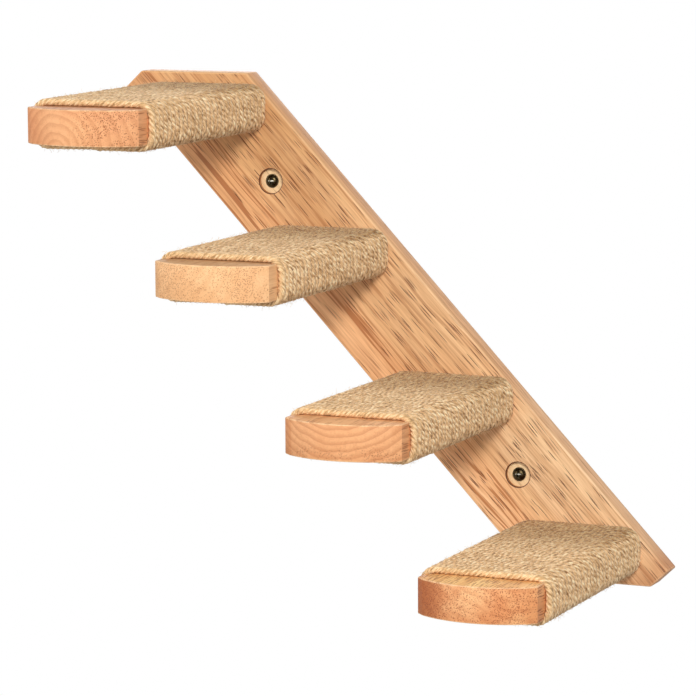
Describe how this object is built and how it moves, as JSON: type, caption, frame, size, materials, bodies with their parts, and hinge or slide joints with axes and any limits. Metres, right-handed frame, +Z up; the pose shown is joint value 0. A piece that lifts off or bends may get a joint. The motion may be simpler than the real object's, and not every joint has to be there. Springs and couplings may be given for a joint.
{
  "type": "cat climbing steps",
  "caption": "Wall-hung cat climbing steps: wooden step boards wound with rope, each with a bare bowed nose, stand level from a sloping back board screwed to the wall.",
  "frame": {"origin": "middle of the back board's rear face, which lies on the wall", "axes": "+X right along the wall, the way the steps go down; +Y into the wall; +Z up, square to the level steps"},
  "size_m": [0.4226, 0.2632, 0.3552],
  "materials": {
    "board_wood": "pale rubberwood, fine sanded, with dark pore streaks along the board",
    "step_wood": "rubberwood, end grain on the bowed nose, thin clear satin coat",
    "rope": "matt three-strand jute rope with loose fibres",
    "wall_screw_metal": "dark bronze plated, bright in the cross recess",
    "step_screw_metal": "zinc plated",
    "dowel_wood": "bare beech"
  },
  "bodies": {
    "root": {"back_board": "board_wood", "step_board_1": "step_wood", "step_board_2": "step_wood", "step_board_3": "step_wood", "step_board_4": "step_wood", "rope_wrap_1": "rope", "rope_wrap_2": "rope", "rope_wrap_3": "rope", "rope_wrap_4": "rope", "wall_screw_upper": "wall_screw_metal", "wall_screw_lower": "wall_screw_metal", "step_screw_1_left": "step_screw_metal", "step_screw_1_right": "step_screw_metal", "step_screw_2_left": "step_screw_metal", "step_screw_2_right": "step_screw_metal", "step_screw_3_left": "step_screw_metal", "step_screw_3_right": "step_screw_metal", "step_screw_4_left": "step_screw_metal", "step_screw_4_right": "step_screw_metal", "step_dowel_1_left": "dowel_wood", "step_dowel_1_right": "dowel_wood", "step_dowel_2_left": "dowel_wood", "step_dowel_2_right": "dowel_wood", "step_dowel_3_left": "dowel_wood", "step_dowel_3_right": "dowel_wood", "step_dowel_4_left": "dowel_wood", "step_dowel_4_right": "dowel_wood"}
  },
  "joints": []
}
